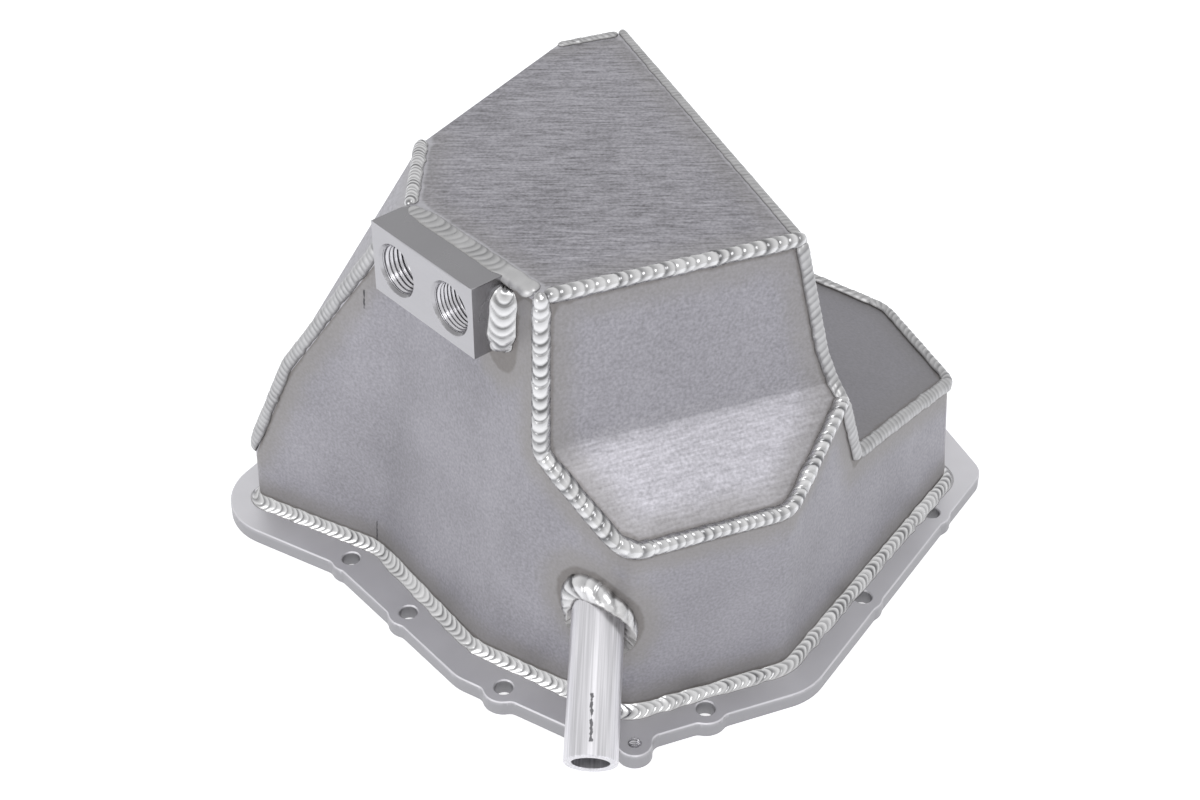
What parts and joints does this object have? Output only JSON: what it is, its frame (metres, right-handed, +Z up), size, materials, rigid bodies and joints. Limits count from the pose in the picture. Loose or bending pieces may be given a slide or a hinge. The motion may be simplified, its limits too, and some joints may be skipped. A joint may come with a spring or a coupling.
{
  "type": "engine oil pan",
  "caption": "Fabricated sump for a car engine: bent and folded aluminium sheet welded on a flange plate, with a port block and a return tube",
  "frame": {"origin": "On the gasket face, on the axis of the front bolt hole", "axes": "+X along the flange's straight front edge, to the right; +Y to the back of the pan; +Z up, from the gasket face towards the sump's floor, since the pan stands upside down on its flange"},
  "size_m": [0.2972, 0.256, 0.1738],
  "materials": {
    "sheet_aluminium": "brushed and mill-finish sheet",
    "machined_aluminium": "machined plate and block",
    "tube_aluminium": "extruded tube",
    "weld_metal": "bright rippled weld metal"
  },
  "bodies": {
    "root": {"back_wall": "sheet_aluminium", "bead_back_edge": "weld_metal", "bead_back_left": "weld_metal", "bead_back_right": "weld_metal", "bead_block_side": "weld_metal", "bead_block_top": "weld_metal", "bead_flange_front": "weld_metal", "bead_flange_rear": "weld_metal", "bead_floor_corner": "weld_metal", "bead_floor_front": "weld_metal", "bead_floor_rear": "weld_metal", "bead_floor_right": "weld_metal", "bead_front_foot": "weld_metal", "bead_front_left": "weld_metal", "bead_front_side": "weld_metal", "bead_left_seam": "weld_metal", "bead_side_rear": "weld_metal", "bead_tube_collar": "weld_metal", "bead_wing_corner": "weld_metal", "bead_wing_end": "weld_metal", "bead_wing_front": "weld_metal", "bead_wing_rear": "weld_metal", "bead_wing_root": "weld_metal", "bent_side_wall": "sheet_aluminium", "flange_plate": "machined_aluminium", "floor_and_back_panel": "sheet_aluminium", "folded_front_panel": "sheet_aluminium", "port_block": "machined_aluminium", "sump_side_panel": "sheet_aluminium", "tube_stub": "tube_aluminium", "wing_top": "sheet_aluminium"}
  },
  "joints": []
}
